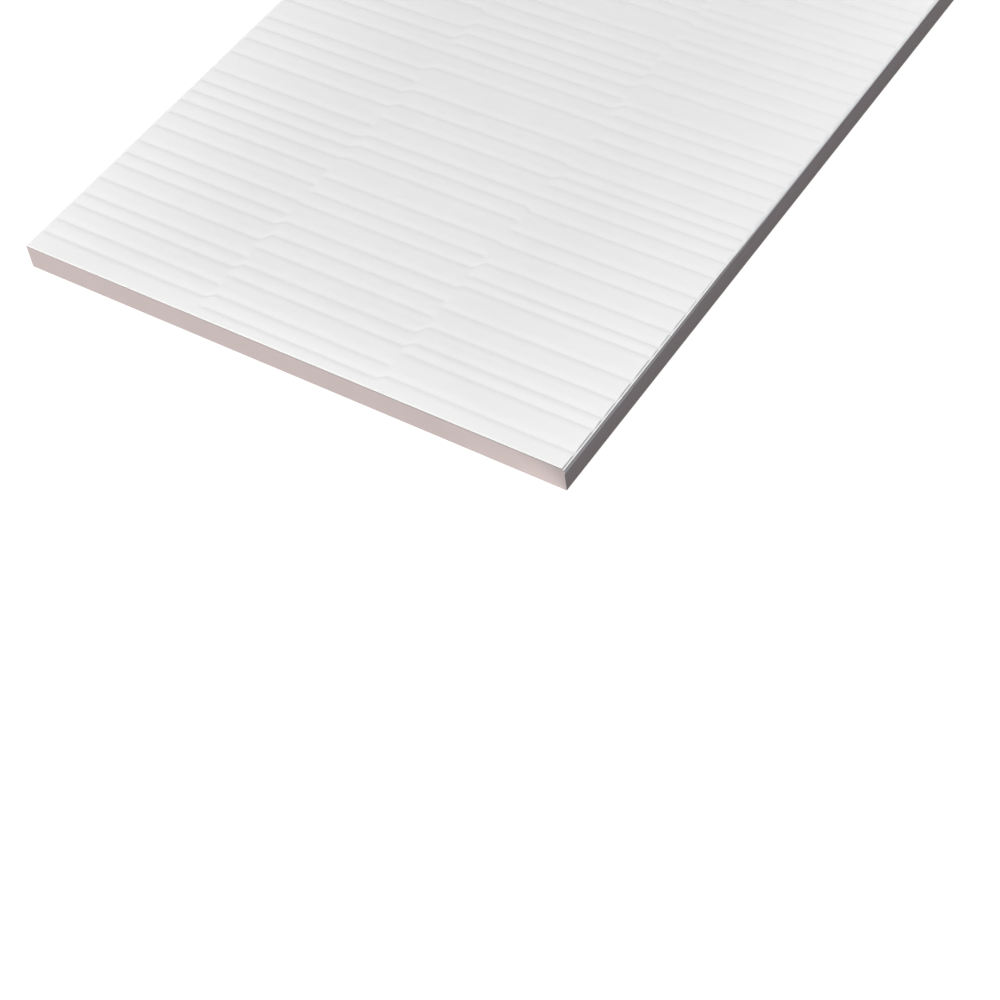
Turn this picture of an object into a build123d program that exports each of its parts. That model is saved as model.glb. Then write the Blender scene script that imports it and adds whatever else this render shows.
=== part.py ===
"""Relief wall tile: a flat slab with three columns of rounded bands across its face and a keyed back.

Millimetres, +Z up. The tile lies on its back, its long side on Y and the middle of its back at the origin.
"""

import itertools
import os

from build123d import *

# The slab, to the crown of the bands
width = 200
length = 500
thickness = 9

# Widths of the bands in each column from the front edge, which cuts the first band of a column short
left_bands = [8, 6.5, 8, 5.5, 8, 8, 5.5, 6.5, 8.5, 7.5, 6.5, 5.5, 5.5, 6.5, 10, 8, 6.5, 6, 10.5, 7.5, 6, 11]
middle_bands = [
    4.5, 6, 8.5, 6, 8, 7, 6.5, 9, 6, 7.5, 10.5, 6.5, 5.5, 9, 8, 8,
    12.5, 8, 5.5, 6, 6, 5.5, 6.5, 6.5, 12.5, 5.5,
]
right_bands = [
    6.5, 10, 5, 7.5, 8.5, 10.5, 4.5, 7, 9, 6.5, 9.5, 7, 6, 5, 5, 8.5,
    6, 6.5, 6, 5.5, 11.5, 6, 7, 7, 5, 7.5, 5.5, 4.5, 9, 7, 5.5, 5.5,
]

# Groove between two bands: a short rounded fall from one crown and a long rounded rise to the next
groove_depth = 0.45
fall_run = 1.5
rise_run = 2.75

# Column joint: a strip in which a groove jogs over to one near it in the next column, or else runs out
joint_strip = 2.5
jog_ahead = 4
jog_back = 1.5

# Drafted square pockets that key the back to its adhesive
key_pitch = 30
key_rib = 4
key_margin = 10
key_depth = 0.6
key_draft = 45

# How far the groove outline stands clear of the face that it cuts
clear = 0.02


def groove_lines(bands):
    """Distances from the front edge to the grooves of one column, its bands repeated to the rear edge."""
    lines = [bands[0]]
    for band in itertools.cycle(bands[1:]):
        if lines[-1] + band > length - min(bands[1:]):
            return lines
        lines.append(lines[-1] + band)


def jogs(near, far):
    """Grooves that meet across a joint: each line of one column with at most one line of the next."""
    pairs = {}
    last = 0
    for line in near:
        reach = [other for other in far if other > last and -jog_back <= other - line <= jog_ahead]
        if reach:
            last = min(reach, key=lambda other: abs(other - line))
            pairs[line] = last
    return pairs


def groove_pass(x, line, way):
    """The groove outline set on its line at x and carried along way."""
    with BuildSketch(Plane.YZ.offset(x)) as outline:
        with Locations((line - length / 2, thickness)):
            add(groove.sketch)
    return extrude(outline.sketch, amount=Vector(way).length, dir=way, mode=Mode.PRIVATE)


with BuildSketch() as groove:
    cut = groove_depth + clear
    with BuildLine():
        RadiusArc((-fall_run, clear), (0, -groove_depth), (fall_run**2 + cut**2) / (2 * cut))
        RadiusArc((0, -groove_depth), (rise_run, clear), (rise_run**2 + cut**2) / (2 * cut))
        Line((rise_run, clear), (-fall_run, clear))
    make_face()

columns = [groove_lines(bands) for bands in (left_bands, middle_bands, right_bands)]
column_width = width / len(columns)

with BuildPart() as tile:
    Box(width, length, thickness, align=(Align.CENTER, Align.CENTER, Align.MIN))

    # Straight runs across each column
    passes = []
    for i, lines in enumerate(columns):
        start = i * column_width + joint_strip / 2 * (i > 0) - width / 2
        end = (i + 1) * column_width - joint_strip / 2 * (i + 1 < len(columns)) - width / 2
        passes += [groove_pass(start, line, (end - start, 0, 0)) for line in lines]

    # Jogs and run-outs in the strips between the columns
    for i, (near, far) in enumerate(itertools.pairwise(columns)):
        start = (i + 1) * column_width - joint_strip / 2 - width / 2
        pairs = jogs(near, far)
        for line in near:
            way = (joint_strip, pairs[line] - line, 0) if line in pairs else (joint_strip, 0, cut)
            passes.append(groove_pass(start, line, way))
        for line in far:
            if line not in pairs.values():
                passes.append(groove_pass(start + joint_strip, line, (-joint_strip, 0, cut)))
    add(passes, mode=Mode.SUBTRACT)

    # Pockets in the back, clear of the edges
    with BuildSketch() as keys:
        across = int((width - 2 * key_margin) // key_pitch)
        along = int((length - 2 * key_margin) // key_pitch)
        with GridLocations(key_pitch, key_pitch, across, along):
            Rectangle(key_pitch - key_rib, key_pitch - key_rib)
    extrude(amount=key_depth, taper=key_draft, mode=Mode.SUBTRACT)

os.makedirs("parts", exist_ok=True)
tile.part.label = "tile"
export_step(tile.part, "parts/tile.step")
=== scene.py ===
import math

import bmesh
import bpy
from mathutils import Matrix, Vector


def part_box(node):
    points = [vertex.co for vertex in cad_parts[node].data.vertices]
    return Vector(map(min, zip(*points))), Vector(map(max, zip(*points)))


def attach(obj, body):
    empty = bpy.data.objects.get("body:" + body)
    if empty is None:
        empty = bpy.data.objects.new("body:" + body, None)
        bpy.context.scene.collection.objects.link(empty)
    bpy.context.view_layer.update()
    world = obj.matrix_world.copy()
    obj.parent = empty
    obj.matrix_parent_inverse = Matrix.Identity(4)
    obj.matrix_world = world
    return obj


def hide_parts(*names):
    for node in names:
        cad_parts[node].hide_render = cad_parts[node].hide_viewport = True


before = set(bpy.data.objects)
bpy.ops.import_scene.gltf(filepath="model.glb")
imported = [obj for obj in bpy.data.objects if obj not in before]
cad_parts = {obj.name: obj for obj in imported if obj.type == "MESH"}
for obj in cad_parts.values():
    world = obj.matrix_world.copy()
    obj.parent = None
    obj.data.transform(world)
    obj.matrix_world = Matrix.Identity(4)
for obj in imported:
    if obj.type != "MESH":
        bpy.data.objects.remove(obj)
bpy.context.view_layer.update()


# The tile: one slab of pinkish earthenware, pressed with three columns of rounded bands across its face and
# with key pockets in its back, then fired with a satin white glaze. The glaze covers the face and its eased
# edge and laps onto the long sides, and the rest of the sides, the ends and the back are bare fired body.
low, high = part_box("tile")
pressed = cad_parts["tile"].data

# grooves: a short fall from one band and a long rise to the next, on lines that wander a little
groove_depth = high.z - min(v.co.z for v in pressed.vertices if v.co.z > high.z / 2)
rise_run = 0.0031
fall_run = 0.0017
valley_round = 0.0003
bend_radius = 0.0025
wander = 0.0003
wander_scale = 60

# edges of the face: eased all round, with grooves that run out at the long sides, and on the right a low
# ledge where the bands end short, which gives way to a rolled edge further back
eased_edge = 0.00012
rim_lip = 0.0006
ledge = 0.0004
band_end = 0.00012
ledge_end = 0.12
roll = 0.0016
roll_drop = 0.0008

# mesh of the face
row_pitch = 0.0004
band_cells = 8
joint_cells = 10
rim_cells = 4

# glaze: white with a cloudy tone, with painted highlight making it whiter towards the edges and on the rise
# after each groove, a painted highlight line along the rim, painted shade in the grooves, less of it at the
# right rear, and painted shade on the wall of the ledge
glaze_white = (0.875, 0.874, 0.872, 1)
glaze_cool = (0.850, 0.850, 0.850, 1)
glaze_painted_highlight = (0.946, 0.946, 0.944, 1)
glaze_rim_highlight = (0.985, 0.985, 0.985, 1)
glaze_groove_shade = (0.80, 0.80, 0.80, 1)
glaze_wall_shade = (0.44, 0.44, 0.44, 1)
side_highlight_reach = 0.055
end_highlight_reach = 0.024
rim_highlight_width = 0.0004
rim_highlight_fade = 0.0003
groove_shade_ease_start, groove_shade_ease_end = 0.05, 0.18
groove_shade_ease_width = 0.06
streak_stretch = (0.3, 1, 1)
glaze_waviness = 0.00006

# body: fired biscuit, with the lap of glaze as a strip under the arris of the long sides that climbs towards
# the rear, and a dark line under the arris of the ends, deeper on the right
body_pink = (0.505, 0.440, 0.432, 1)
body_dark = (0.450, 0.390, 0.382, 1)
body_grit = 0.00008
lap_white = (0.880, 0.825, 0.795, 1)
lap_foot = 0.0064
lap_foot_climb = 0.006
lap_foot_climb_end = 0.2
lap_foot_fade = 0.0008
lap_ripple = 0.0008
lap_head = 0.0078
lap_head_climb = 0.01
lap_head_climb_start = 0.1
lap_head_fade = 0.0004
arris_shade = (0.340, 0.325, 0.312, 1)
shade_foot, shade_head = 0.0080, 0.0086
shade_left, shade_right = -0.12, 0.08


class Wire:
    """An output of a node tree. Arithmetic on it adds Math nodes, and add() brings in any other node."""

    def __init__(self, tree, socket=None):
        self.tree = tree
        self.socket = socket

    def add(self, kind, settings, values, output=0):
        node = self.tree.nodes.new(kind)
        for name, setting in settings.items():
            setattr(node, name, setting)
        for name, value in values.items():
            if isinstance(value, Wire):
                self.tree.links.new(value.socket, node.inputs[name])
            else:
                node.inputs[name].default_value = value
        return Wire(self.tree, node.outputs[output] if node.outputs else None)

    def math(self, operation, first, second):
        return self.add("ShaderNodeMath", {"operation": operation}, {0: first, 1: second})

    def __add__(self, other):
        return self.math("ADD", self, other)

    __radd__ = __add__

    def __sub__(self, other):
        return self.math("SUBTRACT", self, other)

    def __rsub__(self, other):
        return self.math("SUBTRACT", other, self)

    def __mul__(self, other):
        return self.math("MULTIPLY", self, other)

    __rmul__ = __mul__

    def __truediv__(self, other):
        return self.math("DIVIDE", self, other)

    def __pow__(self, other):
        return self.math("POWER", self, other)

    def __abs__(self):
        return self.math("ABSOLUTE", self, 0.0)

    def at_most(self, other):
        return self.math("MINIMUM", self, other)

    def at_least(self, other):
        return self.math("MAXIMUM", self, other)

    def more_than(self, other):
        return self.math("GREATER_THAN", self, other)

    def ramp(self, start, end, first=0.0, last=1.0):
        values = {"Value": self, 1: start, 2: end, 3: first, 4: last}
        return self.add("ShaderNodeMapRange", {"interpolation_type": "SMOOTHSTEP"}, values)

    def parts(self):
        split = self.add("ShaderNodeSeparateXYZ", {}, {0: self}).socket.node
        return [Wire(self.tree, output) for output in split.outputs]


def new_finish(name):
    finish = bpy.data.materials.new(name)
    finish.use_nodes = True
    finish.node_tree.nodes.clear()
    sheet = Wire(finish.node_tree)
    return finish, sheet, sheet.add("ShaderNodeTexCoord", {}, {}, "Object")


def grain(place, scale, detail=2.0, roughness=0.5):
    return place.add(
        "ShaderNodeTexNoise", {}, {"Vector": place, "Scale": scale, "Detail": detail, "Roughness": roughness}
    )


def blend(amount, first, second):
    return amount.add("ShaderNodeMix", {"data_type": "RGBA"}, {0: amount, 6: first, 7: second}, 2)


def coat(sheet, colour, roughness, height, depth):
    bump = sheet.add("ShaderNodeBump", {}, {"Strength": 1.0, "Distance": depth, "Height": height})
    surface = sheet.add(
        "ShaderNodeBsdfPrincipled", {}, {"Base Color": colour, "Roughness": roughness, "Normal": bump}
    )
    sheet.add("ShaderNodeOutputMaterial", {}, {"Surface": surface})


glaze, sheet, place = new_finish("satin_white_glaze")
x, y, z = place.parts()
from_side = high.x - abs(x)
from_end = high.y - abs(y)
# painted highlight: the glaze is made whiter towards the long sides and the ends
painted_edge_highlight = (1 - (from_side / side_highlight_reach).at_most(1.0)) ** 1.3
painted_edge_highlight = painted_edge_highlight.at_least((1 - (from_end / end_highlight_reach).at_most(1.0)) ** 1.5 * 0.75)
# painted highlight: a white line along the rim of the face
rim_highlight = from_side.at_most(from_end).ramp(rim_highlight_width, rim_highlight_width + rim_highlight_fade, 1.0, 0.0)
# painted shade: the small wall where the bands end at the ledge is made dark, fading out towards the rear
wall_line = high.x - eased_edge - ledge - 0.5 * band_end
painted_wall_shade = abs(wall_line - x).ramp(0.4 * band_end, 0.7 * band_end, 1.0, 0.0)
painted_wall_shade = painted_wall_shade * (1 - (y - low.y) / ledge_end).at_least(0.0)
hollow = sheet.add("ShaderNodeAttribute", {"attribute_name": "hollow"}, {}, "Fac")
slope = sheet.add("ShaderNodeAttribute", {"attribute_name": "slope"}, {}, "Fac")
# the painted groove shade is made weaker towards the right rear
groove_shade_ease = (y - low.y).ramp(groove_shade_ease_start, groove_shade_ease_end) * x.ramp(0.0, groove_shade_ease_width)
along_bands = sheet.add("ShaderNodeVectorMath", {"operation": "MULTIPLY"}, {0: place, 1: streak_stretch})
clouds = grain(place, 22, 3) + (grain(along_bands, 330) - 0.5) * 2.0
tone = blend(clouds, glaze_cool, glaze_white)
# painted highlight: whiter towards the edges and on the rise after each groove
tone = blend((painted_edge_highlight + slope**2 * (1 - slope) * 1.4).at_most(1.0), tone, glaze_painted_highlight)
# painted shade: greyer in the grooves
tone = blend(hollow**8 * 0.95 * (1 - 0.6 * groove_shade_ease), tone, glaze_groove_shade)
# painted highlight along the rim
tone = blend(rim_highlight, tone, glaze_rim_highlight)
# painted shade on the wall of the ledge
tone = blend(painted_wall_shade, tone, glaze_wall_shade)
waves = grain(place, 90) * 0.7 + grain(place, 650) * 0.1
coat(sheet, tone, 0.30 + 0.10 * grain(place, 160), waves, glaze_waviness)

body, sheet, place = new_finish("fired_pink_body")
x, y, z = place.parts()
grit = grain(place, 2600, 3, 0.6)
patches = grain(place, 60, 4)
biscuit = blend((grit * 0.6 + patches * 0.7 - 0.15).at_most(1.0), body_dark, body_pink)
from_front = y - low.y
ripple = lap_ripple * (grain(place, 130, 3) - 0.5)
above_foot = z + ripple - lap_foot_climb * from_front.at_most(lap_foot_climb_end)
above_head = z + lap_head_climb * (lap_head_climb_start - from_front).at_most(0.0)
lap = above_foot.ramp(lap_foot, lap_foot + lap_foot_fade)
lap = lap * above_head.ramp(lap_head, lap_head + lap_head_fade, 1.0, 0.0)
on_side = abs(x).more_than(high.x - 0.00005)
shade = z.ramp(shade_foot, shade_head) * x.ramp(shade_left, shade_right, 0.35, 1.0)
biscuit = blend(shade * (1 - on_side), biscuit, arris_shade)
coat(sheet, blend(lap * on_side, biscuit, lap_white), 0.86 + 0.10 * grit, grit + patches * 0.5, body_grit)

# valley lines of the pressed face, as edges: the runs across each column, and the swerves and run-outs at
# the joints
lines = bmesh.new()
lines.from_mesh(pressed)
bmesh.ops.remove_doubles(lines, verts=lines.verts, dist=1e-6)
floor_of_groove = high.z - 0.98 * groove_depth
crown = high.z - 0.02 * groove_depth
traced = set()
for edge in lines.edges:
    start, end = sorted((v.co for v in edge.verts), key=lambda co: co.z)
    across = abs(end.x - start.x) > 1e-5
    valley = across and high.z / 2 < start.z and end.z < floor_of_groove
    straight = across and abs(end.y - start.y) < 1e-5
    run_out = straight and high.z / 2 < start.z < floor_of_groove and end.z > crown
    if valley or run_out:
        traced.add(edge)
ends = sorted({round(v.co.x, 5) for edge in traced for v in edge.verts if v.co.z < floor_of_groove})
bmesh.ops.delete(lines, geom=[edge for edge in lines.edges if edge not in traced], context="EDGES")
bmesh.ops.delete(lines, geom=[v for v in lines.verts if not v.link_edges], context="VERTS")
valleys = bpy.data.objects.new("valley_lines", bpy.data.meshes.new("valley_lines"))
bpy.context.collection.objects.link(valleys)
lines.to_mesh(valleys.data)
lines.free()

# the slab before pressing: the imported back, a fine flat face, the eased edge round it and four plain sides
slab = bmesh.new()
slab.from_mesh(pressed)
mark = slab.faces.layers.bool.new("glazed")
upper = [v for v in slab.verts if v.co.z > high.z / 2]
bmesh.ops.delete(slab, geom=upper, context="VERTS")
bmesh.ops.remove_doubles(slab, verts=slab.verts, dist=1e-6)
for face in slab.faces:
    face.smooth = False


def steps(start, end, count):
    return [start + (end - start) * i / count for i in range(count)]


side = high.x - eased_edge
brink = ledge + band_end
rim = [0.0, ledge / 2, ledge, brink] + [brink + roll * i / rim_cells for i in range(1, rim_cells + 1)]
columns = [-side + inset for inset in rim]
for near, far in ((ends[1], ends[2]), (ends[3], ends[4])):
    columns += steps(columns[-1], near - bend_radius / 4, band_cells)[1:]
    columns += steps(near - bend_radius / 4, far + bend_radius / 4, joint_cells)
    columns.append(far + bend_radius / 4)
columns += steps(columns[-1], side - rim[-1], band_cells)[1:]
columns += [side - inset for inset in reversed(rim)]
reach = high.y - eased_edge
rows = steps(-reach, reach, round(2 * reach / row_pitch)) + [reach]
face_points = [[slab.verts.new((x, y, high.z)) for x in columns] for y in rows]
glazed = []
for front, back in zip(face_points, face_points[1:]):
    for a, b, c, d in zip(front, front[1:], back[1:], back):
        glazed.append(slab.faces.new((a, b, c, d)))

loop = face_points[0][:-1] + [row[-1] for row in face_points[:-1]]
loop += face_points[-1][:0:-1] + [row[0] for row in face_points[:0:-1]]
inner = loop
for inset, drop in ((0.5, 0.13), (0.13, 0.5), (0.0, 1.0)):
    outer = []
    for point in loop:
        x, y, z = point.co
        x += math.copysign((1 - inset) * eased_edge, x) * (abs(x) > side - 1e-7)
        y += math.copysign((1 - inset) * eased_edge, y) * (abs(y) > reach - 1e-7)
        outer.append(slab.verts.new((x, y, z - drop * eased_edge)))
    for i in range(len(loop)):
        glazed.append(slab.faces.new((inner[i - 1], outer[i - 1], outer[i], inner[i])))
    inner = outer
for face in glazed:
    face.smooth = True
    face[mark] = True

# both edges of the small wall where the bands end at the ledge stay sharp
for front, back in zip(face_points, face_points[1:]):
    for i in (-1 - rim.index(ledge), -1 - rim.index(brink)):
        slab.edges.get((front[i], back[i])).smooth = False

corners = {}
for v in slab.verts:
    if v.co.z < 1e-6 and abs(v.co.x) > high.x - 1e-6 and abs(v.co.y) > high.y - 1e-6:
        corners[(math.copysign(1, v.co.x), math.copysign(1, v.co.y))] = v
across, along = len(columns) - 1, len(rows) - 1
turns = [0, across, across + along, 2 * across + along, 2 * (across + along)]
stands = [corners[key] for key in ((-1, -1), (1, -1), (1, 1), (-1, 1), (-1, -1))]
ring = inner + inner[:1]
for i in range(4):
    upper_line = ring[turns[i]:turns[i + 1] + 1]
    slab.faces.new([stands[i], stands[i + 1]] + upper_line[::-1])

blank = bpy.data.meshes.new("slab")
slab.to_mesh(blank)
slab.free()
if "custom_normal" in blank.attributes:
    blank.attributes.remove(blank.attributes["custom_normal"])
tile = bpy.data.objects.new("glazed_tile", blank)
bpy.context.collection.objects.link(tile)

# pressing: the face sinks towards the valley lines, over a long rounded rise on the near side of a band and
# a shorter fall at its far end, and the lines wander a little as they do in a hand-cut die
press = bpy.data.node_groups.new("pressed_bands", "GeometryNodeTree")
press.interface.new_socket("Geometry", in_out="OUTPUT", socket_type="NodeSocketGeometry")
sockets = {}
for name, kind, value in (
    ("Geometry", "NodeSocketGeometry", None),
    ("Valley Lines", "NodeSocketObject", valleys),
    ("Face Height", "NodeSocketFloat", high.z),
    ("Half Width", "NodeSocketFloat", high.x),
    ("Front", "NodeSocketFloat", low.y),
    ("Groove Depth", "NodeSocketFloat", groove_depth),
    ("Rise Run", "NodeSocketFloat", rise_run),
    ("Fall Run", "NodeSocketFloat", fall_run),
    ("Valley Round", "NodeSocketFloat", valley_round),
    ("Bend Radius", "NodeSocketFloat", bend_radius),
    ("Wander", "NodeSocketFloat", wander),
    ("Wander Scale", "NodeSocketFloat", wander_scale),
    ("Rim Lip", "NodeSocketFloat", rim_lip),
    ("Ledge", "NodeSocketFloat", eased_edge + ledge),
    ("Band End", "NodeSocketFloat", band_end),
    ("Ledge End", "NodeSocketFloat", ledge_end),
    ("Roll", "NodeSocketFloat", roll),
    ("Roll Drop", "NodeSocketFloat", roll_drop),
    ("Glaze", "NodeSocketMaterial", glaze),
    ("Body", "NodeSocketMaterial", body),
):
    sockets[name] = (press.interface.new_socket(name, in_out="INPUT", socket_type=kind).identifier, value)
sheet = Wire(press)
entry = press.nodes.new("NodeGroupInput")
given = {name: Wire(press, entry.outputs[name]) for name in sockets}
spot = sheet.add("GeometryNodeInputPosition", {}, {})
x, y, z = spot.parts()

# the lines with round bends, stood up as a curtain that rays along the tile can meet
line = sheet.add("GeometryNodeObjectInfo", {}, {"Object": given["Valley Lines"]}, "Geometry")
line = sheet.add("GeometryNodeMeshToCurve", {}, {"Mesh": line})
line = sheet.add(
    "GeometryNodeFilletCurve",
    {"mode": "POLY"},
    {"Curve": line, "Count": 6, "Radius": given["Bend Radius"], "Limit Radius": True},
)
line = sheet.add("GeometryNodeCurveToMesh", {}, {"Curve": line})


def keep(geometry, name, value):
    return sheet.add(
        "GeometryNodeStoreNamedAttribute",
        {"data_type": "FLOAT", "domain": "POINT"},
        {"Geometry": geometry, "Name": name, "Value": value},
    )


line = keep(line, "line_depth", given["Face Height"] - z)
flat = sheet.add("ShaderNodeCombineXYZ", {}, {0: x, 1: y, 2: -0.001})
line = sheet.add("GeometryNodeSetPosition", {}, {"Geometry": line, "Position": flat})
upright = sheet.add("ShaderNodeCombineXYZ", {}, {2: 0.002})
curtain = sheet.add(
    "GeometryNodeExtrudeMesh", {"mode": "EDGES"}, {"Mesh": line, "Offset": upright, "Offset Scale": 1.0}
)
line_depth = sheet.add("GeometryNodeInputNamedAttribute", {"data_type": "FLOAT"}, {"Name": "line_depth"})
stray = grain(spot, given["Wander Scale"], 1.0)
tremor = grain(spot, given["Wander Scale"] * 5, 1.0)
stray = (stray - 0.5) * given["Wander"] + (tremor - 0.5) * given["Wander"] * 0.5


def look_for_line(way, reach):
    start = sheet.add("ShaderNodeCombineXYZ", {}, {0: x, 1: y + stray - way * 1e-5})
    ray = sheet.add(
        "GeometryNodeRaycast",
        {"data_type": "FLOAT"},
        {
            "Target Geometry": curtain,
            "Attribute": line_depth,
            "Source Position": start,
            "Ray Direction": (0, way, 0),
            "Ray Length": reach,
        },
        "Hit Distance",
    )
    return ray, Wire(press, ray.socket.node.outputs["Attribute"])


away, depth = look_for_line(-1, given["Rise Run"])
away = (away**2 + given["Valley Round"] ** 2) ** 0.5 - given["Valley Round"]
rise = (1 - (away / given["Rise Run"]).at_most(1.0)) ** 2 * depth
away, depth = look_for_line(1, given["Fall Run"])
away = (away / given["Fall Run"]).at_most(1.0)
fall = (1 - away) ** 2 * (1 + 2 * away) * depth
groove = rise.at_least(fall) * (given["Half Width"] - abs(x)).ramp(0.0, given["Rim Lip"])

# the right edge: the ledge over the front part and the roll behind it
inset = given["Half Width"] - x
ledge_share = (y - given["Front"]).ramp(given["Ledge End"] * 0.5, given["Ledge End"], 1.0, 0.0)
below_wall = inset.ramp(given["Ledge"], given["Ledge"] + given["Band End"], 1.0, 0.0)
ledge_sink = below_wall * given["Groove Depth"] * ledge_share
roll_sink = (1 - (inset / given["Roll"]).at_most(1.0)) ** 2 * given["Roll Drop"] * (1 - ledge_share)

sunk = groove.at_least(ledge_sink).at_least(roll_sink)
down = sheet.add("ShaderNodeCombineXYZ", {}, {2: 0 - sunk})
whole = keep(given["Geometry"], "hollow", groove / given["Groove Depth"])
whole = keep(whole, "slope", (rise / given["Groove Depth"]) ** 0.5)
on_top = z.more_than(given["Face Height"] * 0.5)
whole = sheet.add("GeometryNodeSetPosition", {}, {"Geometry": whole, "Selection": on_top, "Offset": down})
whole = sheet.add("GeometryNodeRealizeInstances", {}, {"Geometry": whole})
whole = sheet.add("GeometryNodeSetMaterial", {}, {"Geometry": whole, "Material": given["Body"]})
on_face = sheet.add("GeometryNodeInputNamedAttribute", {"data_type": "BOOLEAN"}, {"Name": "glazed"})
whole = sheet.add(
    "GeometryNodeSetMaterial", {}, {"Geometry": whole, "Selection": on_face, "Material": given["Glaze"]}
)
sheet.add("NodeGroupOutput", {}, {"Geometry": whole})

pressing = tile.modifiers.new("pressing", "NODES")
pressing.node_group = press
for identifier, value in sockets.values():
    if value is not None:
        pressing[identifier] = value
bpy.context.view_layer.update()
fired = bpy.data.meshes.new_from_object(tile.evaluated_get(bpy.context.evaluated_depsgraph_get()))
tile.modifiers.remove(pressing)
tile.data = fired
bpy.data.objects.remove(valleys)
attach(tile, "root")
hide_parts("tile")


# The table under the tile: a plain white sheet far wider than the view, lit evenly all over.
paper = bpy.data.materials.new("white_paper")
paper.use_nodes = True
paper.node_tree.nodes.clear()
sheet = Wire(paper.node_tree)
lit_paper = sheet.add(
    "ShaderNodeBsdfPrincipled",
    {},
    {
        "Base Color": (0.12, 0.12, 0.12, 1),
        "Roughness": 0.9,
        "Specular IOR Level": 0.0,
        "Emission Color": (1, 1, 1, 1),
        "Emission Strength": 0.96,
    },
)
sheet.add("ShaderNodeOutputMaterial", {}, {"Surface": lit_paper})
ground = bmesh.new()
bmesh.ops.create_grid(ground, x_segments=8, y_segments=8, size=15)
table = bpy.data.objects.new("table_top", bpy.data.meshes.new("table_top"))
ground.to_mesh(table.data)
ground.free()
table.location.z = low.z - 0.0001
table.data.materials.append(paper)
table.visible_diffuse = False
table.visible_glossy = False
bpy.context.collection.objects.link(table)


# The light: a pale sky over the table, soft boxes above the tile, before and behind it and low on the left,
# and cards lying on the table that throw light up its front and right sides.
sky = bpy.data.worlds.new("studio")
bpy.context.scene.world = sky
sky.use_nodes = True
sky.node_tree.nodes.clear()
sheet = Wire(sky.node_tree)
upward = sheet.add("ShaderNodeTexCoord", {}, {}, "Generated").parts()[2]
strength = sheet.add("ShaderNodeMapRange", {}, {"Value": upward, 1: -0.02, 2: 0.02, 3: 0.0, 4: 0.62})
sky_light = sheet.add("ShaderNodeBackground", {}, {"Color": (1, 1, 1, 1), "Strength": strength})
sheet.add("ShaderNodeOutputWorld", {}, {"Surface": sky_light})


def soft_box(name, size_x, size_y, place, target, watts, colour=(1, 1, 1)):
    lamp = bpy.data.lights.new(name, "AREA")
    lamp.shape = "RECTANGLE"
    lamp.size, lamp.size_y = size_x, size_y
    lamp.energy = watts
    lamp.color = colour
    box = bpy.data.objects.new(name, lamp)
    box.location = place
    box.rotation_euler = (Vector(target) - Vector(place)).to_track_quat("-Z", "Y").to_euler()
    box.visible_camera = False
    bpy.context.collection.objects.link(box)


def card(name, size_x, size_y, x, y, watts, colour):
    soft_box(name, size_x, size_y, (x, y, low.z - 0.00005), (x, y, 1), watts, colour)


soft_box("over_soft_box", 0.6, 0.6, (0, -0.2, 1.3), (0, -0.15, 0), 2.08)
soft_box("near_soft_box", 0.25, 0.2, (0.03, -0.435, 0.3), (0, -0.2, 0), 0.245)
soft_box("left_soft_box", 0.3, 0.3, (-0.35, -0.75, 0.18), (0, -0.2, 0), 0.60)
soft_box("rear_soft_box", 0.2, 0.2, (0.06, 0.295, 0.3), (0.04, -0.05, 0), 0.32)
card("front_card", 1.2, 0.4, -0.5, low.y - 0.195, 2.02, (1, 0.95, 0.93))
card("corner_card", 0.035, 0.15, 0.0825, low.y - 0.0755, 0.004, (1, 0.95, 0.93))
card("tip_card", 0.015, 0.15, 0.0925, low.y - 0.0755, 0.00225, (1, 0.95, 0.93))
card("right_card", 0.4, 1.0, high.x + 0.205, -0.1, 0.11, (0, 0.3, 1))


# The camera: in front of the tile's right corner, half a metre up, and turned a little on its axis.
lens = bpy.data.cameras.new("camera")
lens.sensor_width = 36
lens.lens = 85.136
lens.clip_start = 0.01
camera = bpy.data.objects.new("camera", lens)
camera.location = (0.36718, -0.59409, 0.50079)
camera.rotation_euler = [math.radians(angle) for angle in (40.646, 6.174, 33.180)]
bpy.context.collection.objects.link(camera)
bpy.context.scene.camera = camera
bpy.context.scene.view_settings.view_transform = "Standard"
